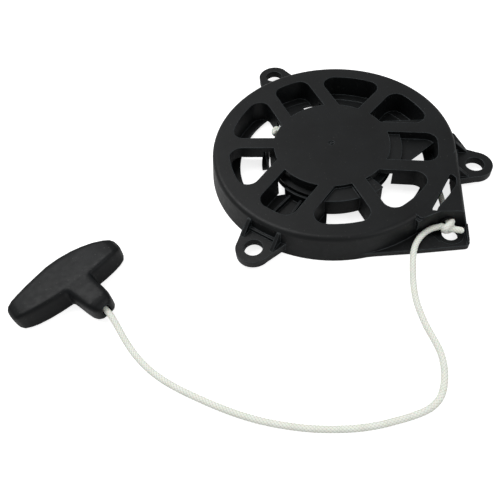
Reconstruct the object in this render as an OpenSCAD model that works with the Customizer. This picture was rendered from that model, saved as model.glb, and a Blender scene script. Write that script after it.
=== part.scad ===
// Recoil starter of a small engine: a moulded fan housing with a rope pulley, a coiled
// recoil spring and two swinging pawls under it, a braided starter rope and a T grip.
// Units are millimetres. The origin is on the pulley's axis at the mounting face, and +Z
// points away from the engine. The rope leaves the housing towards -Y.

/* [Housing] */
// Height of the housing above its mounting face
case_h = 20; // [20:0.5:23]
// Radius of the round rim at the top
rim_r = 85; // [85:0.5:87]
// Radius of the skirt at the mounting face
skirt_r = 87.1; // [87:0.1:88]
// Thickness of the moulded walls
wall = 2.5; // [2:0.1:2.6]
// Radius of the rounded edge between the top and the rim
edge_r = 3.5; // [2.5:0.5:4]

/* [Air openings] */
// Radius where the nine openings start, which is the edge of the round centre plate
plate_r = 40.6; // [40:0.1:41]
// Radius where the openings end
open_r = 72.6; // [72:0.1:73]
// Half width of the three straight openings
bay_half = 13.6; // [13:0.1:14]
// Radius of the openings' outer corners
corner_r = 8; // [6:0.5:8]
// Thickness of the walls that line the openings
lining = 2.2; // [1.8:0.1:2.4]

/* [Fixing holes] */
// Radius of the three ear holes
hole_r = 6.3; // [5.5:0.1:6.5]
// Radius of the hole in the corner beside the rope exit
corner_hole_r = 5.2; // [4.5:0.1:5.6]
// Radius of an ear's rounded end
ear_r = 11.8; // [11:0.1:12.5]
// Thickness of the ears
ear_t = 5.6; // [5:0.1:6]

/* [Pulley] */
// Radius of the pulley's two flanges
flange_r = 44; // [43.5:0.1:44.2]
// Radius of the drum that the rope winds on
drum_r = 21.8; // [21.4:0.2:22.4]
// Radius of the fixed post that the pulley turns on
post_r = 7; // [6.6:0.1:7]

/* [Rope and grip] */
// Diameter of the starter rope
rope_d = 4; // [3.4:0.1:4]
// Height of the T grip, lying on its side
grip_h = 18; // [16:0.5:18]
// Depth of the chamfers along the grip's edges
grip_chamfer = 3.2; // [2.4:0.2:3.6]

/* [Hidden] */
$fn = 96;
eps = 0.02;
rope_r = rope_d / 2;
top_t = wall;
under_z = case_h - top_t;

// angles of the straight openings and of the narrow webs half way between them
bay_at = [105, 226, 344];
web_at = [167.5, 284.5, 402];
web_half = 5;
side_off = 23.4;

// the deep linings stop short of the pulley, and only a lip goes on over it
deep_r = 48.5;
lip_z = 16.2;
// height at which each opening's deep lining starts
lining_foot = [2.8, 2.8, 11, 2.8, 2.8, 6, 2.8, 2.8, 2.8];

// the ears' directions, the distances of their holes, and the height of their underside
ear_angles = [105.4, 227.2, 341.8];
ear_reach = [101, 97.6, 98.8];
ear_z = 3.4;
corner_hole = [60.3, -81.2];
corner_t = 4;
corner_floor = 3.4;

// the rope's exit through the back wall of the corner pocket
exit_at = [59.5, -75.6];
exit_z = 9.6;
exit_dir = 259;

// the right side of the corner leans in; this is the direction that it faces
side_dir = -14.3;
side_x = 89.2;
block_top = case_h - 0.1;

// heights in the pulley, from the engine side up
flange_z0 = 5.4;
groove_z0 = 6.4;
groove_z1 = 10.6;
flange_z1 = 11.8;
rope_z = (groove_z0 + groove_z1) / 2;
hub_z0 = 2.7;
hub_z1 = 17.2;
hub_r = 9.5;

// pawls
pawl_at = 17.5;
pawl_len = 17;
pawl_rest = -85;
pawl_swing = 40;
plate_turn = 30;
cam_at = 9;
cam_r = 1.2;
pin_r = 2;
pawl_z0 = 2.7;
pawl_z1 = 5.2;

// friction plate and centre screw
fplate_r = 27.5;
fplate_z0 = 1.4;
fplate_z1 = 2.4;
shoulder_r = 3.6;

// recoil spring: a flat strip wound as half rings about two centres
strip_t = 0.5;
spring_r = 10.2;
spring_pitch = 3.3;
spring_turns = 8;
spring_z0 = 12.3;
spring_z1 = 17.3;

// rope from the drum to the exit, round the edge of the window in the inner wall
lead_bend = [62.9, -46.7];
lead_dir = -67.6;
lead_out = -96.9;
lead_route = [
    [17.1, 36.7, 8.5], [26.0, 31.1, 8.5], [33.2, 23.2, 8.5], [37.5, 15.4, 8.5],
    [44.3, -1.2, 8.5], [51.2, -18, 8.5], [57.8, -34.0, 8.6], [61.4, -42.9, 8.7],
    [62.6, -48.0, 8.8], [62.2, -54.0, 9.0], [61.3, -61.0, 9.3], [60.4, -68.0, 9.5],
    [59.5, -75.4, 9.6]
];

// pull cord, from the knot at the exit to the knot plate in the grip
cord_route = [
    [54.2, -78.7, 9.5], [48.6, -78.4, 8.3], [44.0, -79.6, 7.0], [39.6, -82.7, 6.5],
    [35.6, -87.3, 6.4], [32.5, -93.0, 6.0], [30.3, -99.6, 4.5], [28.5, -106.5, 2.8],
    [26.7, -114.5, 2.1], [25.4, -123.0, 2.1], [25.2, -132.0, 2.1], [25.9, -141.5, 2.1],
    [27.4, -150.5, 2.1], [28.4, -158.0, 2.1], [28.0, -165.0, 2.1], [26.4, -172.0, 2.1],
    [23.5, -179.0, 2.1], [19.5, -184.7, 2.1], [13.0, -189.0, 2.1], [4.0, -191.4, 2.1],
    [-7.0, -192.8, 2.1], [-17.0, -193.6, 2.1], [-28.0, -193.4, 2.1], [-40.0, -192.0, 2.1],
    [-52.0, -189.7, 2.1], [-64.0, -186.3, 2.1], [-76.0, -182.0, 2.1], [-88.0, -176.5, 2.1],
    [-100.0, -169.8, 2.1], [-112.0, -162.2, 2.1], [-122.0, -155.3, 2.1], [-131.0, -148.0, 2.1],
    [-139.0, -139.7, 2.1], [-146.0, -130.2, 2.2], [-151.5, -120.5, 3.4], [-156.2, -110.4, 5.9],
    [-159.4, -104.2, 7.9], [-163.0, -99.4, 8.9], [-168.7, -92.9, 9], [-187.1, -71.8, 9]
];

// the grip: its mouth, the way its stem points, and the middle of its bar
mouth = [-162.1, -100.4, 9];
stem_dir = 131.2;
bar_pos = [-182, -83, 9];
bar_dir = 34.6;
knot_from = 38;

// colours of the materials
plastic = [0.17, 0.18, 0.19];
grip_plastic = [0.15, 0.16, 0.17];
rope_white = [0.90, 0.89, 0.84];
pulley_plastic = [0.30, 0.31, 0.32];
steel = [0.62, 0.63, 0.65];
spring_steel = [0.45, 0.47, 0.52];

// the sub-parts, one per name
// which sub-part to draw

// a point at radius r and angle a
function polar(r, a) = [r * cos(a), r * sin(a)];

// a point s along the direction a and d to its left
function beside(s, d, a) = [s * cos(a) - d * sin(a), s * sin(a) + d * cos(a)];

// the remaining leg of a right triangle with long side c
function leg(c, b) = sqrt(c * c - b * b);

// how far along a curve's points number i lies between its neighbours
function along(p, i) = p[min(i + 1, len(p) - 1)] - p[max(i - 1, 0)];

// a ring of n points of radius r round c, square to the direction t
function ring(c, t, r, n) =
    let (side = cross(t, [0, 0, 1]), x = side / norm(side), up = cross(x, t), y = up / norm(up))
    [for (k = [0:n - 1]) c + r * (cos(360 * k / n) * x + sin(360 * k / n) * y)];

// a smooth point at share u between p[i] and p[i + 1]
function smooth_at(p, i, u) =
    let (a = p[max(i - 1, 0)], b = p[i], c = p[i + 1], d = p[min(i + 2, len(p) - 1)])
    0.5 * ((2 * b) + (c - a) * u + (2 * a - 5 * b + 4 * c - d) * u * u
        + (3 * b - a - 3 * c + d) * u * u * u);

// a route with one smooth point added between each two
function smooth(p) = concat(
    [for (i = [0:len(p) - 2]) for (u = [0, 0.5]) smooth_at(p, i, u)],
    [p[len(p) - 1]]
);

// a round tube along a route
module tube(route, r, n = 8) {
    last = len(route) - 1;
    rings = [for (i = [0:last]) ring(route[i], along(route, i), r, n)];
    points = [for (q = rings) for (v = q) v];
    sides = [
        for (i = [0:last - 1]) for (k = [0:n - 1])
            let (a = i * n + k, b = i * n + (k + 1) % n)
            [a, b, b + n, a + n]
    ];
    start_cap = [[for (k = [n - 1:-1:0]) k]];
    end_cap = [[for (k = [0:n - 1]) last * n + k]];
    polyhedron(points = points, faces = concat(start_cap, sides, end_cap));
}

// a coil of wire about the Z axis
module coil(r, wire, z0, z1, turns) {
    steps = 14;
    count = turns * steps;
    route = [
        for (i = [0:count])
            [r * cos(360 * i / steps), r * sin(360 * i / steps), z0 + (z1 - z0) * i / count]
    ];
    tube(route, wire / 2, 6);
}

// a flat ring between two radii and two heights
module washer(r_out, r_in, z0, z1) {
    translate([0, 0, z0])
        difference() {
            cylinder(r = r_out, h = z1 - z0);
            translate([0, 0, -1])
                cylinder(r = r_in, h = z1 - z0 + 2);
        }
}

// part of a flat ring, from angle a0 to a1
module arc_wall(r_in, r_out, z0, z1, a0, a1) {
    rotate([0, 0, a0])
        rotate_extrude(angle = a1 - a0)
            translate([r_in, z0])
                square([r_out - r_in, z1 - z0]);
}

// outline of one air opening: side 1 lies d1 to the left of direction a1 and side 2 lies
// d2 to the left of direction a2; grow widens the whole outline
module opening_2d(a1, d1, a2, d2, grow = 0) {
    e1 = d1 - grow;
    e2 = d2 + grow;
    rho = corner_r + grow;
    r_in = plate_r - grow;
    r_out = open_r + grow;
    s1 = leg(r_out - rho, e1 + rho);
    s2 = leg(r_out - rho, e2 - rho);
    c1 = beside(s1, e1 + rho, a1);
    c2 = beside(s2, e2 - rho, a2);
    start = r_in - 3;
    // the corners' circles are a hair too large, so that they cross the sides they touch
    corner = rho + 0.02;
    difference() {
        union() {
            polygon([
                beside(leg(start, e1), e1, a1), beside(s1, e1, a1), c1,
                c2, beside(s2, e2, a2), beside(leg(start, e2), e2, a2)
            ]);
            intersection() {
                polygon([0.98 * c1, 1.3 * c1, 1.3 * c2, 0.98 * c2]);
                circle(r = r_out);
            }
            translate(c1)
                circle(r = corner);
            translate(c2)
                circle(r = corner);
        }
        circle(r = r_in);
    }
}

// opening number k of 9: three straight ones, and one on each side of each narrow web
module opening_k(k, grow = 0) {
    i = floor(k / 3);
    bay = bay_at[i];
    web = web_at[i];
    next_bay = bay_at[(i + 1) % 3];
    if (k % 3 == 0) opening_2d(bay, -bay_half, bay, bay_half, grow);
    if (k % 3 == 1) opening_2d(bay, side_off, web, -web_half, grow);
    if (k % 3 == 2) opening_2d(web, web_half, next_bay, -side_off, grow);
}

// the round shell: flat top, rounded edge and a skirt that flares to the mounting face
module shell() {
    shoulder_z = case_h - edge_r;
    inner_r = rim_r - wall;
    rotate_extrude()
        difference() {
            union() {
                polygon([
                    [0, 0], [skirt_r, 0], [rim_r, shoulder_z], [rim_r - edge_r, shoulder_z],
                    [rim_r - edge_r, case_h], [0, case_h]
                ]);
                translate([rim_r - edge_r, shoulder_z])
                    circle(r = edge_r);
            }
            polygon([
                [-1, -1], [skirt_r - wall, -1], [skirt_r - wall, 0],
                [inner_r, under_z - 2], [inner_r - 2, under_z], [-1, under_z]
            ]);
        }
}

// linings that hang below the top round the openings, still filled in
module linings() {
    for (k = [0:8]) {
        // deep part, outside the pulley
        translate([0, 0, lining_foot[k]])
            linear_extrude(height = case_h - 1.8 - lining_foot[k])
                difference() {
                    opening_k(k, lining);
                    circle(r = deep_r);
                }
        // shallow lip over the pulley
        translate([0, 0, lip_z])
            linear_extrude(height = case_h - lip_z - 1)
                opening_k(k, lining);
    }
}

// the top with its nine openings and their linings
module vented_top() {
    difference() {
        union() {
            shell();
            linings();
        }
        for (k = [0:8])
            translate([0, 0, -1])
                linear_extrude(height = case_h + 2)
                    opening_k(k);
    }
}

// round walls under the top
module inner_walls() {
    // wall and ledge that close the ring of openings on the outside
    washer(open_r + wall, open_r + 0.2, 1, under_z + 0.6);
    washer(open_r + 1, 66.5, 1, 3.3);
    // cup that the recoil spring lies in
    washer(plate_r - 0.2, plate_r - 2.6, 12.2, under_z + 0.6);
}

// dark parts that are seen down through the openings
module baffles() {
    // guard wall beside the pulley and the shoulder that carries it
    arc_wall(49.6, 52, 4.2, 17.2, 250, 298);
    arc_wall(39, 51.6, 16, 17.3, 249, 299);
    // low floor on the far side
    arc_wall(50, 67, 1.2, 3.05, -3.5, 86);
    arc_wall(62.2, 67, 1.3, 3.1, 85, 100);
    arc_wall(52, 67.2, 1.25, 3.15, 98.6, 118);
    arc_wall(45.4, 50.4, 1.3, 3.1, 157, 178);
    arc_wall(45.2, 46.8, 2, 10.3, 156.6, 178.4);
    // low floor with ribs on the near left side
    difference() {
        arc_wall(45.4, 67.2, 1.2, 3.1, 204, 246);
        translate([-90, -26, 0])
            cube([60, 30, 6]);
    }
    arc_wall(45.2, 46.8, 2, 10.3, 215, 246.4);
    arc_wall(49, 67.1, 1.35, 3.2, 244, 255);
    for (a = [221, 232])
        rotate([0, 0, a])
            translate([46, -0.8, 2])
                cube([20.6, 1.6, 4.5]);
    // ledge beside the centre plate, over the start of the rope's way out
    arc_wall(39, 49, 16, 17.2, -32.5, 5);
    // shield over the rope where it leaves the pulley
    intersection() {
        arc_wall(47.4, 73.6, 12.1, 13.6, -34, 27);
        translate([0, 0, 12])
            linear_extrude(height = 2)
                polygon([
                    [38, -29.4], [50.1, -22.2], [62.5, -14.7], [78, -5.3], [78, 14], [44.6, 20],
                    [33, 20]
                ]);
    }
}

// fixed post for the pulley, with a recess for the friction spring and a screw hole
module centre_post() {
    translate([0, 0, 3.2])
        cylinder(r = post_r, h = under_z - 2.6);
}

module post_bore() {
    translate([0, 0, -1])
        cylinder(r = 5.6, h = 10);
    translate([0, 0, 8])
        cylinder(r = 2.55, h = 8);
}

// one ear with its two gussets and the low step between them
module ear(a, reach) {
    rotate([0, 0, a]) {
        translate([0, 0, ear_z])
            linear_extrude(height = ear_t) {
                translate([reach, 0])
                    circle(r = ear_r);
                polygon([
                    [84.5, -16.5], [reach + 1.5, -ear_r * 0.99], [reach + 1.5, ear_r * 0.99],
                    [84.5, 16.5]
                ]);
            }
        for (side = [-1, 1])
            translate([0, side * 11.4 + 1.2, 0])
                rotate([90, 0, 0])
                    linear_extrude(height = 2.4)
                        polygon([
                            [83.5, ear_z + 1], [94, ear_z + 1], [94, ear_z + ear_t + 0.4],
                            [85, case_h - 2.6], [83.5, case_h - 2.6]
                        ]);
        translate([84, -10.3, ear_z + 1])
            cube([3.2, 20.6, ear_t + 1.4]);
    }
}

// thin web that ties the ear beside the rope exit to the rim
module ear_web() {
    rotate([0, 0, ear_angles[2]])
        translate([0, 0, ear_z + 0.2])
            linear_extrude(height = 3.6)
                polygon([[80, 34], [86, 31], [97, 10], [84, 10]]);
}

// outline of the flat corner by the rope exit, with its tip rounded
module corner_2d() {
    tip = [for (i = [0:8]) [66.9, -89.6] + 3 * polar(1, -95 + 13.5 * i)];
    polygon(concat(
        [[-26, -78], [-23, -83.5], [-9.7, -85.8], [10.2, -87.3], [36.3, -90.1]],
        tip,
        [[80.8, -44.5], [86, -24], [78, -22], [68, -36]]
    ));
}

// the flat corner, with its floor sunk a little round the hole
module corner_plate() {
    difference() {
        linear_extrude(height = corner_t)
            corner_2d();
        translate([0, 0, corner_floor])
            linear_extrude(height = corner_t)
                union() {
                    polygon([[45.8, -74], [51.8, -86], [58, -84], [70.3, -79], [68.4, -72]]);
                    translate(corner_hole)
                        circle(r = 8.6);
                }
    }
}

// section across the block: its right side leans in, and is rounded at the top
module block_section() {
    round_r = 3;
    foot = [side_x - 4.24, case_h - 2.27];
    polygon([
        [0, -5], [side_x + 2.4, -5], foot, [side_x - 7.1, block_top], [0, block_top]
    ]);
    translate([side_x - 7.12, block_top - round_r])
        circle(r = round_r + 0.02, $fn = 64);
}

// raised block that the rope runs through, as high as the rim
module exit_block() {
    intersection() {
        linear_extrude(height = case_h)
            polygon([
                [36, -70], [39.6, -76.8], [42, -77.4], [53.4, -74.4], [68.3, -77.2],
                [77, -79], [92, -22], [84, -21], [70, -36]
            ]);
        rotate([0, 0, side_dir])
            translate([0, 120, 0])
                rotate([90, 0, 0])
                    linear_extrude(height = 240)
                        block_section();
    }
}

// space for the rope inside the block and through the skirt
module rope_passage() {
    translate([0, 0, -1])
        linear_extrude(height = 16)
            polygon([
                [67.4, -36.4], [60, -53], [47.6, -62], [47.9, -72.4], [50.4, -73.2],
                [54.4, -72.2], [64.8, -74.2], [67, -73.7], [75.6, -37.6]
            ]);
    // slot in the top, beside the rim
    translate([0, 0, 14])
        linear_extrude(height = 8)
            polygon([
                [69, -45.6], [70.6, -46.2], [72, -49.4], [70.4, -54.7], [62.1, -63.2], [53, -71],
                [51.4, -73.4], [49, -72.6], [49.4, -70], [58.8, -58.6], [64.8, -51]
            ]);
    // windows in the linings and in the inner ring wall
    for (way = [[lead_dir + 180, 22, 8], [lead_out, 14, 8.4]])
        translate([lead_bend[0], lead_bend[1], 4.2 - way[2] / 40])
            rotate([0, 0, way[0]])
                translate([-2, -3.4, 0])
                    cube([way[1] + 2, 6.8, way[2]]);
    // hole for the eyelet
    translate([exit_at[0], exit_at[1], exit_z])
        rotate([0, 0, exit_dir])
            translate([-4, 0, 0])
                rotate([0, 90, 0])
                    cylinder(r = 3.45, h = 6, $fn = 48);
}

module corner() {
    corner_plate();
    // low rim on the right edge
    linear_extrude(height = corner_t + 2.4)
        polygon([[67.4, -91.8], [69.2, -90.6], [72.6, -77.6], [70.8, -77.6]]);
    exit_block();
    // small lug on the rim
    rotate([0, 0, -62.6])
        translate([83, -2, 10])
            cube([4.6, 4, 8]);
}

// keeps a part outside the shell's inner face, up to the top's thickness
module outside_shell() {
    difference() {
        children();
        translate([0, 0, -1])
            cylinder(r = 84.1, h = under_z + 2.1);
    }
}

module starter_housing() {
    color(plastic)
        difference() {
            union() {
                vented_top();
                inner_walls();
                baffles();
                centre_post();
                outside_shell() {
                    for (i = [0:2])
                        ear(ear_angles[i], ear_reach[i]);
                    ear_web();
                    corner();
                }
                // post that the rope bends round
                translate([58.4, -48, 3.4])
                    cylinder(r = 2, h = under_z - 2.7, $fn = 32);
            }
            rope_passage();
            post_bore();
            for (i = [0:2])
                rotate([0, 0, ear_angles[i]])
                    translate([ear_reach[i], 0, -1])
                        cylinder(r = hole_r, h = case_h);
            translate([corner_hole[0], corner_hole[1], -1])
                cylinder(r = corner_hole_r, h = corner_t + 3);
            // notch in the spring's cup for the strip's outer end
            translate([36, -1, 12])
                cube([3.4, 2, under_z - 12]);
            // centre dimple with a pip in it
            translate([0, 0, case_h - 0.9])
                washer(2.1, 0.9, 0, 2);
        }
}

module rope_eyelet() {
    color(steel)
        translate([exit_at[0], exit_at[1], exit_z])
            rotate([0, 0, exit_dir])
                rotate([0, 90, 0])
                    difference() {
                        union() {
                            translate([0, 0, -3.4])
                                cylinder(r = 3.4, h = 3.6, $fn = 48);
                            translate([0, 0, 0.12])
                                cylinder(r = 4.6, h = 0.6, $fn = 48);
                        }
                        translate([0, 0, -5])
                            cylinder(r = rope_r + 0.6, h = 8, $fn = 48);
                    }
}

module rope_lead() {
    color(rope_white)
        tube(smooth(lead_route), rope_r);
}

// spring steel strip: half rings about two centres, with a tab at each end
module recoil_spring() {
    half = spring_pitch / 2;
    last_r = spring_r + spring_turns * spring_pitch;
    color(spring_steel) {
        for (i = [0:spring_turns - 1]) {
            r = spring_r + i * spring_pitch;
            arc_wall(r, r + strip_t, spring_z0, spring_z1, 0, 180);
            translate([half, 0, 0])
                arc_wall(r + half, r + half + strip_t, spring_z0, spring_z1, 180, 360);
        }
        // inner tab in the hub's slot and outer tab in the cup's notch
        translate([hub_r - 1.2, -strip_t, spring_z0])
            cube([spring_r - hub_r + 1.2 + strip_t, strip_t + eps, spring_z1 - spring_z0]);
        translate([last_r, -eps, spring_z0])
            cube([39 - last_r, strip_t, spring_z1 - spring_z0]);
    }
}

module pulley() {
    color(pulley_plastic)
        difference() {
            union() {
                // hub, two flanges and the drum between them
                translate([0, 0, hub_z0])
                    cylinder(r = hub_r, h = hub_z1 - hub_z0);
                translate([0, 0, flange_z0])
                    cylinder(r = flange_r, h = groove_z0 - flange_z0);
                translate([0, 0, groove_z0 - 0.5])
                    cylinder(r = drum_r, h = groove_z1 - groove_z0 + 1);
                translate([0, 0, groove_z1])
                    cylinder(r = flange_r, h = flange_z1 - groove_z1);
            }
            // running bore
            translate([0, 0, -1])
                cylinder(r = post_r + 0.06, h = case_h);
            // slot for the spring's inner tab
            translate([hub_r - 1.5, -1, flange_z1])
                cube([4, 2, 8]);
            // cored pockets that lighten the drum
            for (i = [0:7])
                rotate([0, 0, 45 * i + 22.5])
                    translate([15.2, 0, groove_z0 + 2.4])
                        cylinder(r = 3.2, h = 8, $fn = 40);
            // recesses round the pawl pins for the pawl springs
            for (i = [0, 1])
                rotate([0, 0, 180 * i])
                    translate([pawl_at, 0, flange_z0 - 1])
                        difference() {
                            cylinder(r = 3.5, h = 3.8, $fn = 48);
                            translate([0, 0, -1])
                                cylinder(r = pin_r, h = 6, $fn = 48);
                        }
        }
    // pins that the pawls swing on
    color(pulley_plastic)
        for (i = [0, 1])
            rotate([0, 0, 180 * i])
                translate([pawl_at, 0, pawl_z0 + 0.1])
                    cylinder(r = pin_r, h = 6, $fn = 48);
}

// rope wound on the drum, as one ring as wide as its turns
module wound_rope() {
    color(rope_white)
        washer(38.3, drum_r, groove_z0, groove_z1);
}

// knot in the rope's inner end, on the upper flange
module pulley_knot() {
    color(rope_white)
        rotate([0, 0, 142])
            translate([43.7, 0, 13.4])
                difference() {
                    union() {
                        for (side = [-1, 1])
                            translate([0, side * 2.4, 0])
                                sphere(r = 2.3, $fn = 32);
                        rotate([90, 0, 0])
                            translate([0, 0, -2.4])
                                cylinder(r = 2.3, h = 4.8, $fn = 32);
                    }
                    translate([-5, -8, -11.6])
                        cube([10, 16, 10]);
                }
}

// one pawl, drawn with its pivot at the origin and its arm along +X
module pawl_body() {
    difference() {
        union() {
            cylinder(r = 3.7, h = pawl_z1 - pawl_z0, $fn = 48);
            linear_extrude(height = pawl_z1 - pawl_z0)
                polygon([
                    [0, -3.2], [10, -2.6], [pawl_len - 0.4, -2.2], [pawl_len, -1.2],
                    [pawl_len - 1.6, 1.8], [11, 2.4], [0, 3.4]
                ]);
            translate([cam_at, 0, fplate_z0 + 0.1 - pawl_z0])
                cylinder(r = cam_r, h = 2, $fn = 32);
        }
        translate([0, 0, -2])
            cylinder(r = pin_r + 0.06, h = 8, $fn = 48);
    }
}

module pawl(i) {
    color(steel)
        rotate([0, 0, 180 * i])
            translate([pawl_at, 0, pawl_z0])
                rotate([0, 0, pawl_rest])
                    pawl_body();
}

module pawl_1() {
    pawl(0);
}

module pawl_2() {
    pawl(1);
}

// small torsion spring round a pawl's pin
module pawl_spring(i) {
    color(spring_steel)
        rotate([0, 0, 180 * i])
            translate([pawl_at, 0, 0])
                coil(2.9, 0.6, 5.9, 7.7, 3);
}

module pawl_spring_1() {
    pawl_spring(0);
}

module pawl_spring_2() {
    pawl_spring(1);
}

// where a pawl's cam pin lies in the friction plate's frame once the plate has turned
function cam_point(turn) =
    let (swing = pawl_rest + turn * pawl_swing / plate_turn)
    let (x = pawl_at + cam_at * cos(swing), y = cam_at * sin(swing))
    [x * cos(turn) + y * sin(turn), y * cos(turn) - x * sin(turn)];

module cam_slot() {
    slot_r = cam_r + 0.3;
    for (turn = [0:5:plate_turn])
        translate(cam_point(turn))
            circle(r = slot_r, $fn = 40);
    for (turn = [0:5:plate_turn - 5]) {
        from = cam_point(turn);
        step = cam_point(turn + 5) - from;
        translate(from)
            rotate([0, 0, atan2(step[1], step[0])])
                translate([0, -slot_r])
                    square([norm(step), 2 * slot_r]);
    }
}

module friction_plate() {
    color(steel)
        translate([0, 0, fplate_z0])
            linear_extrude(height = fplate_z1 - fplate_z0)
                difference() {
                    circle(r = fplate_r);
                    circle(r = shoulder_r + 0.06);
                    for (i = [0, 1])
                        rotate([0, 0, 180 * i])
                            cam_slot();
                    // two windows that lighten the plate
                    for (i = [0, 1])
                        rotate([0, 0, 180 * i + 62])
                            translate([16, 0])
                                circle(r = 5);
                }
}

module friction_spring() {
    color(spring_steel)
        coil(4.6, 0.8, 3.45, 8.2, 5);
}

module friction_washer() {
    color(steel)
        washer(6.8, shoulder_r + 0.1, 2.5, 3.0);
}

// screw from the engine side that holds the friction plate and the pulley on the post
module centre_screw() {
    color(steel)
        difference() {
            union() {
                translate([0, 0, 0.2])
                    cylinder(r = 6, h = 1, $fn = 64);
                cylinder(r = shoulder_r, h = 9);
                translate([0, 0, 8])
                    cylinder(r = 2.5, h = 7);
            }
            translate([0, 0, -1])
                cylinder(r = 7, h = 1.2);
            // cross recess
            for (a = [0, 90])
                rotate([0, 0, a])
                    translate([-2.8, -0.5, -1])
                        cube([5.6, 1, 3]);
        }
}

// knot that stops the rope at the exit, with its short cut end
module exit_knot() {
    color(rope_white)
        translate([58.4, -81.5, 9.5]) {
            difference() {
                union() {
                    sphere(r = 4.4, $fn = 48);
                    rotate([0, 0, 20])
                        translate([0.6, 0, 0])
                            rotate([0, 62, 0])
                                rotate_extrude()
                                    translate([2.9, 0])
                                        circle(r = rope_r, $fn = 32);
                }
                translate([-8, -8, -9])
                    cube([16, 16, 4.2]);
            }
            translate([2, 0, -0.4])
                rotate([0, 90, -3])
                    cylinder(r = rope_r, h = 8.4, $fn = 32);
        }
}

module pull_cord() {
    color(rope_white)
        tube(smooth(cord_route), rope_r);
}

// one eight-sided slice of the bar, x along the bar and y from y0 to y1
module bar_slice(x, y0, y1, h) {
    c = min(grip_chamfer, (y1 - y0) / 3.2, h / 3.2);
    translate([x, 0, 0])
        rotate([90, 0, 90])
            linear_extrude(height = eps)
                polygon([
                    [y0 + c, -h / 2], [y1 - c, -h / 2], [y1, c - h / 2], [y1, h / 2 - c],
                    [y1 - c, h / 2], [y0 + c, h / 2], [y0, h / 2 - c], [y0, c - h / 2]
                ]);
}

module grip_bar() {
    translate(bar_pos)
        rotate([0, 0, bar_dir])
            hull() {
                bar_slice(-39.4, 6.4, 13, grip_h - 9);
                bar_slice(-37.4, 3.8, 15.2, grip_h - 4);
                bar_slice(-29, 0.6, 18.2, grip_h - 1);
                bar_slice(-16, -1.6, 21.4, grip_h);
                bar_slice(-5, -2.5, 23.6, grip_h);
                bar_slice(4, -2.5, 23.8, grip_h);
                bar_slice(15, -2, 22.2, grip_h);
                bar_slice(26, -0.6, 18.4, grip_h);
                bar_slice(33, 0.8, 14.8, grip_h - 1);
                bar_slice(37.2, 2.2, 12, grip_h - 3);
                bar_slice(39, 4.6, 10, grip_h - 8);
            }
}

module grip_stem() {
    translate(mouth)
        rotate([0, 0, stem_dir])
            hull() {
                bar_slice(-1.2, -4.6, 4.4, grip_h - 7);
                bar_slice(1.6, -7, 6.6, grip_h - 3);
                bar_slice(6, -8, 7.8, grip_h - 0.6);
                bar_slice(14, -8.4, 8.2, grip_h);
                bar_slice(30, -10.4, 9.6, grip_h);
            }
}

module handle_grip() {
    color(grip_plastic)
        difference() {
            union() {
                grip_bar();
                grip_stem();
            }
            translate(mouth)
                rotate([0, 0, stem_dir]) {
                    // bore for the rope with a flared mouth
                    translate([-2, 0, 0])
                        rotate([0, 90, 0])
                            cylinder(r = rope_r + 0.5, h = 60, $fn = 40);
                    translate([-0.5, 0, 0])
                        rotate([0, 90, 0])
                            cylinder(r1 = 4.1, r2 = rope_r + 0.4, h = 4.5, $fn = 40);
                    // pocket for the knot, open on the palm side
                    translate([knot_from - 1.5, -6, -5])
                        cube([20, 12, 10]);
                }
        }
}

module handle_insert() {
    color(steel)
        translate(mouth)
            rotate([0, 0, stem_dir])
                difference() {
                    translate([knot_from - 1.4, -5.8, -4.8])
                        cube([1.4, 11.6, 9.6]);
                    translate([knot_from - 5, 0, 0])
                        rotate([0, 90, 0])
                            cylinder(r = rope_r + 0.1, h = 10, $fn = 40);
                }
}

module handle_knot() {
    color(rope_white)
        translate(mouth)
            rotate([0, 0, stem_dir])
                difference() {
                    translate([knot_from + 3, 0, 0])
                        sphere(r = 3.9, $fn = 40);
                    translate([knot_from - 10 + 0.05, -6, -6])
                        cube([10, 12, 12]);
                }
}

starter_housing();
rope_eyelet();
rope_lead();
pulley();
wound_rope();
pulley_knot();
recoil_spring();
pawl_1();
pawl_2();
pawl_spring_1();
pawl_spring_2();
friction_plate();
friction_spring();
friction_washer();
centre_screw();
exit_knot();
pull_cord();
handle_grip();
handle_insert();
handle_knot();
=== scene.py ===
import math

import bpy
import numpy as np
from mathutils import Matrix, Vector


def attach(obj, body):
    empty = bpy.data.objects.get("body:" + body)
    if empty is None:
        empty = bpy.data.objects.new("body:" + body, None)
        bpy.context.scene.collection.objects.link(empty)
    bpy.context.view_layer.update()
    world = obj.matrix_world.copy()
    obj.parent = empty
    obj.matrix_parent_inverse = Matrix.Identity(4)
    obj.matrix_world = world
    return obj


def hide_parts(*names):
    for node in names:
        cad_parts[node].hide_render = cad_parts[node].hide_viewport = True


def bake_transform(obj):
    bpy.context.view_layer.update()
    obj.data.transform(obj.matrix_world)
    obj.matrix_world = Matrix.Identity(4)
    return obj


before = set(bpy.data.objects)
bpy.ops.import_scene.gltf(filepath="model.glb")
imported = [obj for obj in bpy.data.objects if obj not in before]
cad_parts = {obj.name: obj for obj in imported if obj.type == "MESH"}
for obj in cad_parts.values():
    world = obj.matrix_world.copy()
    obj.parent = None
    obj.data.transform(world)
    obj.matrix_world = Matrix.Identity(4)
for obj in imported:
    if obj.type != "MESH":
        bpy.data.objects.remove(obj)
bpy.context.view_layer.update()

MM = 0.001


# ---------------------------------------------------------------- camera

LENS_MM = 39.6
CAMERA_TARGET = Vector((-68.6, -66.7, 0)) * MM
CAMERA_DISTANCE = 365.6 * MM
CAMERA_ELEVATION = math.radians(54.3)
CAMERA_ROLL = math.radians(-9.0)


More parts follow.
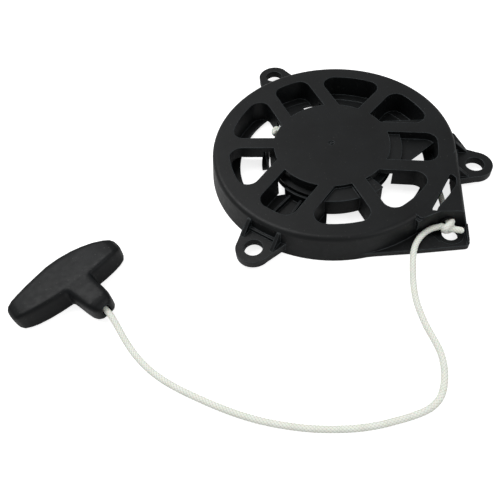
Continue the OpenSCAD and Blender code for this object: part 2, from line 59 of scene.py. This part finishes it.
def make_camera():
    """A camera that looks along +Y and down, rolled a little about its own axis."""
    forward = Vector((0, math.cos(CAMERA_ELEVATION), -math.sin(CAMERA_ELEVATION)))
    right = Vector((1, 0, 0))
    up = right.cross(forward)
    c, s = math.cos(CAMERA_ROLL), math.sin(CAMERA_ROLL)
    image_right = right * c + up * s
    image_up = up * c - right * s
    data = bpy.data.cameras.new("camera")
    data.lens = LENS_MM
    data.sensor_width = 36
    data.clip_start = 0.01
    data.clip_end = 20
    cam = bpy.data.objects.new("camera", data)
    bpy.context.scene.collection.objects.link(cam)
    turn = Matrix((image_right, image_up, -forward)).transposed().to_4x4()
    cam.matrix_world = Matrix.Translation(CAMERA_TARGET - forward * CAMERA_DISTANCE) @ turn
    bpy.context.scene.camera = cam


make_camera()


# ---------------------------------------------------------------- rope geometry

# in millimetres, as in the CAD
ROPE_R = 2.0
STRANDS = 6
BRAID_PITCH = 2.1
BRAID_DEPTH = 0.26
# how far the lows between strands lie under the rope's radius
BRAID_LOW = 0.22
RING_STEP = 0.36
ROPE_SIDES = 24

# where the rope leaves the housing, and the middle of its exit knot
EXIT = Vector((59.5, -75.6, 9.6))
EXIT_DIR = Vector((-0.1908, -0.9816, 0))
KNOT = Vector((58.4, -81.5, 9.5))

# the same route as the CAD solid's, in millimetres: from the knot to the grip
CORD_ROUTE = [
    (54.2, -78.7, 9.5), (48.6, -78.4, 8.3), (44.0, -79.6, 7.0), (39.6, -82.7, 6.5),
    (35.6, -87.3, 6.4), (32.5, -93.0, 6.0), (30.3, -99.6, 4.5), (28.5, -106.5, 2.8),
    (26.7, -114.5, 2.1), (25.4, -123.0, 2.1), (25.2, -132.0, 2.1), (25.9, -141.5, 2.1),
    (27.4, -150.5, 2.1), (28.4, -158.0, 2.1), (28.0, -165.0, 2.1), (26.4, -172.0, 2.1),
    (23.5, -179.0, 2.1), (19.5, -184.7, 2.1), (13.0, -189.0, 2.1), (4.0, -191.4, 2.1),
    (-7.0, -192.8, 2.1), (-17.0, -193.6, 2.1), (-28.0, -193.4, 2.1), (-40.0, -192.0, 2.1),
    (-52.0, -189.7, 2.1), (-64.0, -186.3, 2.1), (-76.0, -182.0, 2.1), (-88.0, -176.5, 2.1),
    (-100.0, -169.8, 2.1), (-112.0, -162.2, 2.1), (-122.0, -155.3, 2.1), (-131.0, -148.0, 2.1),
    (-139.0, -139.7, 2.1), (-146.0, -130.2, 2.2), (-151.5, -120.5, 3.4), (-156.2, -110.4, 5.9),
    (-159.4, -104.2, 7.9), (-163.0, -99.4, 8.9), (-168.7, -92.9, 9.0), (-187.1, -71.8, 9.0),
]

# from the drum to the exit
LEAD_ROUTE = [
    (17.1, 36.7, 8.5), (26.0, 31.1, 8.5), (33.2, 23.2, 8.5), (37.5, 15.4, 8.5),
    (44.3, -1.2, 8.5), (51.2, -18, 8.5), (57.8, -34.0, 8.6), (61.4, -42.9, 8.7),
    (62.6, -48.0, 8.8), (62.2, -54.0, 9.0), (61.3, -61.0, 9.3), (60.4, -68.0, 9.5),
    (59.5, -75.4, 9.6),
]


def spline_through(points, per_span=12):
    """Catmull-Rom points through the given ones."""
    p = np.array([points[0], *points, points[-1]], float)
    found = []
    for a, b, c, d in zip(p, p[1:], p[2:], p[3:]):
        for u in np.arange(per_span) / per_span:
            found.append(
                0.5 * (2 * b + (c - a) * u + (2 * a - 5 * b + 4 * c - d) * u**2
                       + (3 * b - a - 3 * c + d) * u**3)
            )
    found.append(p[-1])
    return np.array(found)


def evenly(points, step):
    """The same line with points every step along it, and each one's distance along it."""
    lengths = np.linalg.norm(np.diff(points, axis=0), axis=1)
    at = np.concatenate([[0], np.cumsum(lengths)])
    count = max(3, round(at[-1] / step) + 1)
    s = np.linspace(0, at[-1], count)
    return np.column_stack([np.interp(s, at, points[:, k]) for k in range(3)]), s


def carried_frames(line):
    """Tangents and two side directions that don't twist along the line."""
    tangents = np.gradient(line, axis=0)
    tangents /= np.linalg.norm(tangents, axis=1)[:, None]
    side = np.cross(tangents[0], (0, 0, 1.0))
    if np.linalg.norm(side) < 0.1:
        side = np.cross(tangents[0], (1.0, 0, 0))
    sides = []
    for t in tangents:
        side = side - t * side.dot(t)
        side /= np.linalg.norm(side)
        sides.append(side)
    sides = np.array(sides)
    return tangents, sides, np.cross(tangents, sides)


def braid_height(angle, s):
    """Height of a braid's surface: 0 between the strands and 1 on their crests."""
    turn = STRANDS * angle / (2 * math.pi)
    u = turn + s / BRAID_PITCH
    v = turn - s / BRAID_PITCH
    return np.sqrt(np.abs(np.sin(math.pi * u) * np.sin(math.pi * v)))


def new_object(name, verts, faces, smooth=True):
    mesh = bpy.data.meshes.new(name)
    mesh.from_pydata([tuple(v) for v in verts], [], faces)
    mesh.validate()
    if smooth:
        mesh.polygons.foreach_set("use_smooth", [True] * len(mesh.polygons))
    piece = bpy.data.objects.new(name, mesh)
    bpy.context.scene.collection.objects.link(piece)
    return piece


def rope(name, route, radius=ROPE_R, round_ends=False, step=RING_STEP):
    """A braided rope along a route in millimetres. Its centreline comes back too, in metres."""
    line, s = evenly(spline_through(route), step)
    tangents, across, up = carried_frames(line)
    angle = np.arange(ROPE_SIDES) * 2 * math.pi / ROPE_SIDES
    height = braid_height(angle[None, :], s[:, None])
    r = radius - BRAID_LOW + BRAID_DEPTH * height
    if round_ends:
        left = np.minimum(s, s[-1] - s)
        r = r * np.sqrt(np.clip(1 - np.clip(1 - left / radius, 0, 1) ** 2, 0.03, 1))[:, None]
    rings = (
        line[:, None, :]
        + r[:, :, None] * (np.cos(angle)[None, :, None] * across[:, None, :]
                           + np.sin(angle)[None, :, None] * up[:, None, :])
    )
    n = ROPE_SIDES
    faces = [
        (i * n + k, i * n + (k + 1) % n, (i + 1) * n + (k + 1) % n, (i + 1) * n + k)
        for i in range(len(line) - 1) for k in range(n)
    ]
    faces.append(tuple(range(n - 1, -1, -1)))
    last = (len(line) - 1) * n
    faces.append(tuple(last + k for k in range(n)))
    piece = new_object(name, rings.reshape(-1, 3) * MM, faces)
    shade = piece.data.attributes.new("crest", "FLOAT", "POINT")
    shade.data.foreach_set("value", height.reshape(-1).astype(np.float32))
    return piece, line * MM


# ---------------------------------------------------------------- node materials

class Graph:
    """A small helper that builds one node material."""

    def __init__(self, name):
        self.material = bpy.data.materials.new(name)
        self.material.use_nodes = True
        self.tree = self.material.node_tree
        self.tree.nodes.clear()
        self.shader = self.add("ShaderNodeBsdfPrincipled")
        out = self.add("ShaderNodeOutputMaterial")
        self.link(self.shader.outputs[0], out.inputs[0])
        self.place = self.add("ShaderNodeTexCoord").outputs["Object"]

    def add(self, kind, **values):
        node = self.tree.nodes.new(kind)
        for key, value in values.items():
            setattr(node, key, value)
        return node

    def link(self, a, b):
        self.tree.links.new(a, b)

    def noise(self, scale, detail=3, rough=0.55, place=None):
        node = self.add("ShaderNodeTexNoise")
        node.inputs["Scale"].default_value = scale
        node.inputs["Detail"].default_value = detail
        node.inputs["Roughness"].default_value = rough
        self.link(place or self.place, node.inputs["Vector"])
        return node.outputs["Fac"]

    def spread(self, value, low, high, to_low=0.0, to_high=1.0):
        node = self.add("ShaderNodeMapRange")
        for socket, number in zip(("From Min", "From Max", "To Min", "To Max"),
                                  (low, high, to_low, to_high)):
            node.inputs[socket].default_value = number
        self.link(value, node.inputs["Value"])
        return node.outputs["Result"]

    def math(self, kind, a, b):
        node = self.add("ShaderNodeMath", operation=kind)
        for socket, value in zip(node.inputs, (a, b)):
            if isinstance(value, (int, float)):
                socket.default_value = value
            else:
                self.link(value, socket)
        return node.outputs[0]

    def mix(self, share, a, b):
        node = self.add("ShaderNodeMix", data_type="RGBA")
        if isinstance(share, (int, float)):
            node.inputs["Factor"].default_value = share
        else:
            self.link(share, node.inputs["Factor"])
        for socket, value in ((node.inputs[6], a), (node.inputs[7], b)):
            if isinstance(value, tuple):
                socket.default_value = (*value, 1)
            else:
                self.link(value, socket)
        return node.outputs[2]

    def bump(self, height, strength, distance, normal=None):
        """Normals that a height map tilts; the distance is in metres."""
        node = self.add("ShaderNodeBump")
        node.inputs["Strength"].default_value = strength
        node.inputs["Distance"].default_value = distance
        self.link(height, node.inputs["Height"])
        if normal is not None:
            self.link(normal, node.inputs["Normal"])
        return node.outputs["Normal"]

    def soft_edges(self, radius):
        """Normals rounded near edges, and a mask that is 1 on the edges."""
        node = self.add("ShaderNodeBevel", samples=6)
        node.inputs["Radius"].default_value = radius
        flat = self.add("ShaderNodeNewGeometry").outputs["Normal"]
        alike = self.add("ShaderNodeVectorMath", operation="DOT_PRODUCT")
        self.link(node.outputs[0], alike.inputs[0])
        self.link(flat, alike.inputs[1])
        return node.outputs[0], self.spread(alike.outputs["Value"], 0.995, 0.80)

    def finish(self, colour, roughness, normal):
        self.link(colour, self.shader.inputs["Base Color"])
        self.link(roughness, self.shader.inputs["Roughness"])
        if normal is not None:
            self.link(normal, self.shader.inputs["Normal"])
        return self.material


def moulded_plastic(name, dark, light, rough, edge_mm, grain, edge_highlight_gain, shine=0.26):
    """Black moulding: clouded colour, fine grain, a painted highlight along the edges and a few
    specks of dust.
    """
    g = Graph(name)
    rounded, edge = g.soft_edges(edge_mm * MM)
    cloud = g.spread(g.noise(45, 4), 0.35, 0.65)
    fine = g.noise(2600, 2)
    colour = g.mix(cloud, dark, light)
    # painted highlight: the edges are painted much lighter than the moulding, in noisy patches, and
    # made a little less rough there
    edge_highlight_mask = g.math("MULTIPLY", edge, g.spread(g.noise(220, 3), 0.3, 0.7, 0.35, 1.0))
    edge_highlight_colour = tuple(edge_highlight_gain * c for c in light)
    colour = g.mix(edge_highlight_mask, colour, edge_highlight_colour)
    dust = g.spread(g.noise(900, 1, 0.4), 0.735, 0.76)
    colour = g.mix(g.math("MULTIPLY", dust, 0.22), colour, (0.16, 0.16, 0.15))
    roughness = g.math("ADD", g.spread(g.noise(300, 3), 0.3, 0.7, rough - 0.05, rough + 0.06),
                       g.math("MULTIPLY", edge_highlight_mask, -0.08))
    normal = g.bump(fine, grain, 0.00012, rounded)
    g.shader.inputs["Specular IOR Level"].default_value = shine
    return g.finish(colour, roughness, normal)


def braided_rope(name):
    """Ivory braid: painted shade between the strands, fine fibres along them, a little soiling."""
    g = Graph(name)
    crest = g.add("ShaderNodeAttribute", attribute_name="crest").outputs["Fac"]
    fibre = g.noise(6500, 3)
    soil = g.spread(g.noise(120, 3), 0.45, 0.75)
    # painted shade: the lows between the strands are painted a dark greenish grey, the crests ivory
    colour = g.mix(g.spread(crest, 0.0, 0.65), (0.45, 0.47, 0.39), (0.90, 0.93, 0.85))
    colour = g.mix(g.math("MULTIPLY", soil, 0.25), colour, (0.66, 0.66, 0.57))
    colour = g.mix(g.spread(fibre, 0.35, 0.75, 0.0, 0.25), colour, (0.92, 0.91, 0.86))
    roughness = g.spread(fibre, 0.3, 0.7, 0.72, 0.9)
    normal = g.bump(fibre, 0.35, 0.00015)
    g.shader.inputs["Sheen Weight"].default_value = 0.25
    g.shader.inputs["Sheen Roughness"].default_value = 0.5
    g.shader.inputs["Subsurface Weight"].default_value = 0.08
    g.shader.inputs["Subsurface Scale"].default_value = 0.0006
    return g.finish(colour, roughness, normal)


def brushed_metal(name, colour_a, colour_b, rough):
    """Plated or blued steel with fine drawn lines, cloudy patches and a painted highlight along the
    edges.
    """
    g = Graph(name)
    rounded, edge = g.soft_edges(0.25 * MM)
    stretch = g.add("ShaderNodeMapping")
    stretch.inputs["Scale"].default_value = (900, 900, 6000)
    g.link(g.place, stretch.inputs["Vector"])
    lines = g.noise(1.0, 3, 0.6, stretch.outputs[0])
    patches = g.spread(g.noise(160, 4), 0.35, 0.7)
    colour = g.mix(patches, colour_a, colour_b)
    # painted highlight: the edges are painted up to 1.7 times lighter than the metal
    bright = tuple(min(0.9, 1.7 * c) for c in colour_b)
    colour = g.mix(g.math("MULTIPLY", edge, 0.5), colour, bright)
    roughness = g.spread(lines, 0.3, 0.7, rough - 0.08, rough + 0.1)
    g.shader.inputs["Metallic"].default_value = 1.0
    return g.finish(colour, roughness, g.bump(lines, 0.12, 0.00005, rounded))


housing_black = moulded_plastic(
    "housing_black", (0.0028, 0.0034, 0.0038), (0.0050, 0.0060, 0.0066), 0.46, 0.85, 0.32, 15.0)
grip_black = moulded_plastic(
    "grip_black", (0.0020, 0.0025, 0.0028), (0.0036, 0.0047, 0.0056), 0.42, 1.6, 0.22, 14.0, 0.19)
pulley_grey = moulded_plastic(
    "pulley_grey", (0.004, 0.0045, 0.005), (0.008, 0.009, 0.010), 0.52, 0.4, 0.3, 3.0)
rope_ivory = braided_rope("rope_ivory")
zinc_steel = brushed_metal("zinc_steel", (0.42, 0.42, 0.43), (0.60, 0.60, 0.60), 0.34)
blackened_steel = brushed_metal("blackened_steel", (0.015, 0.016, 0.017), (0.03, 0.03, 0.03), 0.42)
blued_steel = brushed_metal("blued_steel", (0.12, 0.13, 0.17), (0.22, 0.23, 0.27), 0.30)

NODE_LOOKS = {
    housing_black: ["starter_housing"],
    pulley_grey: ["pulley"],
    grip_black: ["handle_grip"],
    zinc_steel: ["pawl_1", "pawl_2", "friction_plate", "friction_washer", "centre_screw",
                 "handle_insert"],
    blackened_steel: ["rope_eyelet"],
    blued_steel: ["recoil_spring", "pawl_spring_1", "pawl_spring_2", "friction_spring"],
}
for look, nodes in NODE_LOOKS.items():
    for node in nodes:
        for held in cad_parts[node].material_slots:
            held.material = look


# ---------------------------------------------------------------- the free cord and its knot

def dress(piece, look, body):
    """Give a piece its material and slot, and let it ride on a body."""
    piece.data.materials.append(look)
    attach(piece, body)
    return piece


def around_knot(points):
    return [tuple(KNOT + Vector(p)) for p in points]


cord, cord_line = rope("pull_cord_braid", CORD_ROUTE)
dress(cord, rope_ivory, "pull")
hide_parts("pull_cord")

# the strand that wraps round the knot's core, over the top and under again
KNOT_WRAP = around_knot([
    (1.2, 5.5, 0.0), (2.9, 4.5, 1.5), (1.0, 2.0, 2.9), (-1.2, 0.3, 3.2), (-2.8, -0.6, 2.6),
    (-3.4, -0.6, 1.0), (-2.6, 0.3, -1.4), (-0.8, 0.9, -3.0), (1.0, 1.1, -3.2),
    (2.3, 1.2, -2.2), (2.5, 1.7, -0.5), (1.4, 2.2, 1.0),
])
# the core, which goes on to the right as a short cut end
KNOT_CORE = around_knot([
    (-6.2, 3.2, 0.1), (-4.4, 2.9, 0.1), (-2.4, 1.7, 0.2), (0.2, 0.3, 0.0), (2.6, -0.6, -0.3),
    (5.6, -1.6, -0.5), (8.8, -2.9, -0.8),
])
knot_wrap, _ = rope("exit_knot_wrap", KNOT_WRAP, 2.0, round_ends=True)
dress(knot_wrap, rope_ivory, "pull")
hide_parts("exit_knot")
knot_core, _ = rope("exit_knot_core", KNOT_CORE, 2.1, round_ends=True)
dress(knot_core, rope_ivory, "pull")


# ---------------------------------------------------------------- rope inside the housing

lead, _ = rope("rope_lead_braid", LEAD_ROUTE)
dress(lead, rope_ivory, "housing")
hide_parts("rope_lead")


# it passes through the eyelet, so it is a little thinner than the free rope
PAID_OUT_R = 1.7


def paid_out_rope():
    """The stretch between the exit and the knot, built short, as it is at rest."""
    start = EXIT - EXIT_DIR * 5
    end = EXIT + EXIT_DIR * 4.6
    route = [tuple(start), tuple((start + end) / 2), tuple(end)]
    piece, _ = rope("rope_paid_out", route, PAID_OUT_R)
    piece.data.materials.append(rope_ivory)
    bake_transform(piece)


paid_out_rope()


def wound_turns():
    """Turns of rope in the pulley's groove, as a flat spiral."""
    outer, inner, height = 36.4, 24.0, 8.5
    turns = (outer - inner) / (2 * ROPE_R + 0.1)
    count = round(turns * 20)
    points = []
    for i in range(count + 1):
        share = i / count
        a = math.radians(60) - 2 * math.pi * turns * share
        r = outer + (inner - outer) * share
        points.append((r * math.cos(a), r * math.sin(a), height))
    return points


def small_knot(centre, along, size):
    """Points of an overhand knot pulled tight: a rope that winds twice round itself."""
    x = Vector(along).normalized()
    y = Vector((0, 0, 1)).cross(x).normalized()
    z = x.cross(y)
    shape = [(-1.5, 0.1, 0.0), (-0.8, 0.45, 0.35), (0.0, 0.75, 0.05), (0.75, 0.3, -0.45),
             (0.55, -0.5, -0.3), (-0.2, -0.75, 0.2), (-0.75, -0.1, 0.5), (-0.1, 0.3, 0.0),
             (0.6, 0.0, 0.45), (1.5, -0.1, 0.0)]
    return [tuple(Vector(centre) + size * (x * a + y * b + z * c)) for a, b, c in shape]


turns, _ = rope("wound_turns", wound_turns(), step=0.6)
dress(turns, rope_ivory, "pulley")
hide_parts("wound_rope")

# name, the node it stands for, middle, line along it, size and body
SMALL_KNOT_R = 1.5
SMALL_KNOTS = [
    ("pulley_knot_braid", "pulley_knot", (-35.4, 27.7, 12.9), (-0.6, -0.8, 0), 2.8, "pulley"),
    ("handle_knot_braid", "handle_knot", (-188.9, -69.6, 9), (-0.66, 0.75, 0), 2.1, "pull"),
]
for name, stands_for, middle, along, size, body in SMALL_KNOTS:
    knot, _ = rope(name, small_knot(middle, along, size), SMALL_KNOT_R, round_ends=True)
    dress(knot, rope_ivory, body)
    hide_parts(stands_for)


# ---------------------------------------------------------------- the grip

BAR_PLACE, BAR_ANGLE = (-182, -83, 9), 34.6
STEM_PLACE, STEM_ANGLE = (-162.1, -100.4, 9), 131.2

# how square each section is: 2 is an ellipse, and more is squarer
BAR_POWER, STEM_POWER, MOUTH_POWER = 8.0, 5.0, 3.0
GRIP_VOXEL = 0.55 * MM
GRIP_SMOOTHING = 3

# sections along the bar: place, near side, far side, height
BAR_SLICES = [
    (-39.6, 7.5, 12.0, 7), (-39.0, 5.2, 14.0, 11), (-37.2, 3.2, 15.6, 14.5),
    (-33.5, 1.6, 17.2, 16.5), (-29, 0.2, 18.4, 17.4), (-22, -1.2, 20.2, 18), (-14, -2.2, 22.0, 18),
    (-5, -2.8, 23.8, 18), (4, -2.8, 24.0, 18), (13, -2.6, 22.9, 18), (20, -2.0, 21.0, 18),
    (27, -1.0, 18.4, 17.6), (33, 0.3, 15.2, 16.6), (36.6, 1.5, 12.9, 14.5),
    (38.4, 3.2, 11.0, 11), (39.1, 5.2, 9.4, 7),
]
# sections along the stem, which flares where it meets the bar
STEM_SLICES = [
    (-1.6, -4.2, 4.0, 8.5), (-0.6, -5.6, 5.3, 11.5), (1.6, -7.3, 6.9, 14.6),
    (5, -8.3, 8.0, 16.8), (10, -8.7, 8.5, 17.8), (17, -9.0, 8.8, 18), (22, -9.8, 9.2, 18),
    (25, -12.4, 10.4, 17.8), (27.5, -16.0, 12.6, 17.4), (30, -20.0, 15.4, 17), (34, -15, 11, 15),
]
# the slot that the rope comes out of
MOUTH_SLICES = [(-5, -3.0, 3.0, 9.6), (1.5, -2.8, 2.8, 9.0), (5, -2.2, 2.2, 4.4),
                (16, -2.2, 2.2, 4.4)]


def loft(slices, place, angle, power, sides=40):
    """Verts and faces of a closed body through rounded sections along a line."""
    a = np.arange(sides) * 2 * math.pi / sides
    across = np.sign(np.cos(a)) * np.abs(np.cos(a)) ** (2 / power)
    upward = np.sign(np.sin(a)) * np.abs(np.sin(a)) ** (2 / power)
    verts = []
    for x, low, high, height in slices:
        y = (low + high) / 2 + (high - low) / 2 * across
        z = height / 2 * upward
        verts.append(np.column_stack([np.full(sides, float(x)), y, z]))
    turn = math.radians(angle)
    spin = np.array([[math.cos(turn), -math.sin(turn), 0], [math.sin(turn), math.cos(turn), 0],
                     [0, 0, 1]])
    verts = np.concatenate(verts) @ spin.T + np.array(place, float)
    faces = [
        (i * sides + k, i * sides + (k + 1) % sides,
         (i + 1) * sides + (k + 1) % sides, (i + 1) * sides + k)
        for i in range(len(slices) - 1) for k in range(sides)
    ]
    last = (len(slices) - 1) * sides
    faces.append(tuple(range(sides - 1, -1, -1)))
    faces.append(tuple(last + k for k in range(sides)))
    return verts * MM, faces


def baked(piece):
    """The piece with its modifiers applied."""
    shape = piece.evaluated_get(bpy.context.evaluated_depsgraph_get())
    mesh = bpy.data.meshes.new_from_object(shape)
    piece.modifiers.clear()
    piece.data = mesh
    return piece


def make_grip():
    """Bar and stem run together into one smooth moulding, with a slot for the rope."""
    bar, bar_faces = loft(BAR_SLICES, BAR_PLACE, BAR_ANGLE, BAR_POWER)
    stem, stem_faces = loft(STEM_SLICES, STEM_PLACE, STEM_ANGLE, STEM_POWER)
    joined = bar_faces + [tuple(len(bar) + k for k in face) for face in stem_faces]
    grip = new_object("handle_grip_moulding", np.concatenate([bar, stem]), joined)
    remesh = grip.modifiers.new("remesh", "REMESH")
    remesh.mode = "VOXEL"
    remesh.voxel_size = GRIP_VOXEL
    soften = grip.modifiers.new("soften", "SMOOTH")
    soften.factor = 0.5
    soften.iterations = GRIP_SMOOTHING
    baked(grip)
    slot = new_object("grip_mouth_cutter",
                      *loft(MOUTH_SLICES, STEM_PLACE, STEM_ANGLE, MOUTH_POWER))
    cut = grip.modifiers.new("mouth", "BOOLEAN")
    cut.operation = "DIFFERENCE"
    cut.solver = "EXACT"
    cut.object = slot
    baked(grip)
    bpy.data.objects.remove(slot)
    grip.data.polygons.foreach_set("use_smooth", [True] * len(grip.data.polygons))
    grip.data.materials.clear()
    dress(grip, grip_black, "pull")
    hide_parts("handle_grip")


make_grip()


# ---------------------------------------------------------------- floor and light

FLOOR_HALF = 30.0
# a little under the part, so that the rope that lies on it isn't cut into
FLOOR_DROP = 0.4 * MM
# strengths that other rays and the camera see, so the walls near the floor stay dark
FLOOR_GLOW, FLOOR_SEEN = 0.06, 0.78
WORLD_GLOW, WORLD_SEEN = 0.42, 1.1
LIGHT_AIM = Vector((-0.03, -0.06, 0))


def make_floor():
    """A plain white floor that is bright to the camera and dim to everything else."""
    corners = [(x * FLOOR_HALF, y * FLOOR_HALF, 0) for x, y in ((-1, -1), (1, -1), (1, 1), (-1, 1))]
    floor = new_object("floor", corners, [(0, 1, 2, 3)], smooth=False)
    floor.location.z = -FLOOR_DROP
    g = Graph("floor_white")
    g.shader.inputs["Base Color"].default_value = (0.7, 0.7, 0.7, 1)
    g.shader.inputs["Roughness"].default_value = 0.9
    g.shader.inputs["Specular IOR Level"].default_value = 0.1
    g.shader.inputs["Emission Color"].default_value = (1, 1, 1, 1)
    seen = g.add("ShaderNodeLightPath").outputs["Is Camera Ray"]
    glow = g.spread(seen, 0.0, 1.0, FLOOR_GLOW, FLOOR_SEEN)
    g.link(glow, g.shader.inputs["Emission Strength"])
    floor.data.materials.append(g.material)


def area_light(name, place, size, power):
    """A round soft light that points at the part."""
    data = bpy.data.lights.new(name, "AREA")
    data.shape = "DISK"
    data.size = size
    data.energy = power
    light = bpy.data.objects.new(name, data)
    light.location = place
    aim = LIGHT_AIM - Vector(place)
    light.rotation_euler = aim.to_track_quat("-Z", "Y").to_euler()
    bpy.context.scene.collection.objects.link(light)


def make_light():
    """A world that is white to the camera and softer on the part, and two soft lights."""
    world = bpy.data.worlds.new("studio")
    world.use_nodes = True
    nodes, links = world.node_tree.nodes, world.node_tree.links
    background = nodes["Background"]
    background.inputs["Color"].default_value = (1, 1, 1, 1)
    seen = nodes.new("ShaderNodeLightPath").outputs["Is Camera Ray"]
    strength = nodes.new("ShaderNodeMapRange")
    strength.inputs["To Min"].default_value = WORLD_GLOW
    strength.inputs["To Max"].default_value = WORLD_SEEN
    links.new(seen, strength.inputs["Value"])
    links.new(strength.outputs["Result"], background.inputs["Strength"])
    bpy.context.scene.world = world
    area_light("key", (-0.45, 0.35, 1.1), 0.9, 9)
    area_light("fill", (0.8, -0.7, 0.9), 0.8, 4)


make_floor()
make_light()
bpy.context.scene.view_settings.view_transform = "Standard"
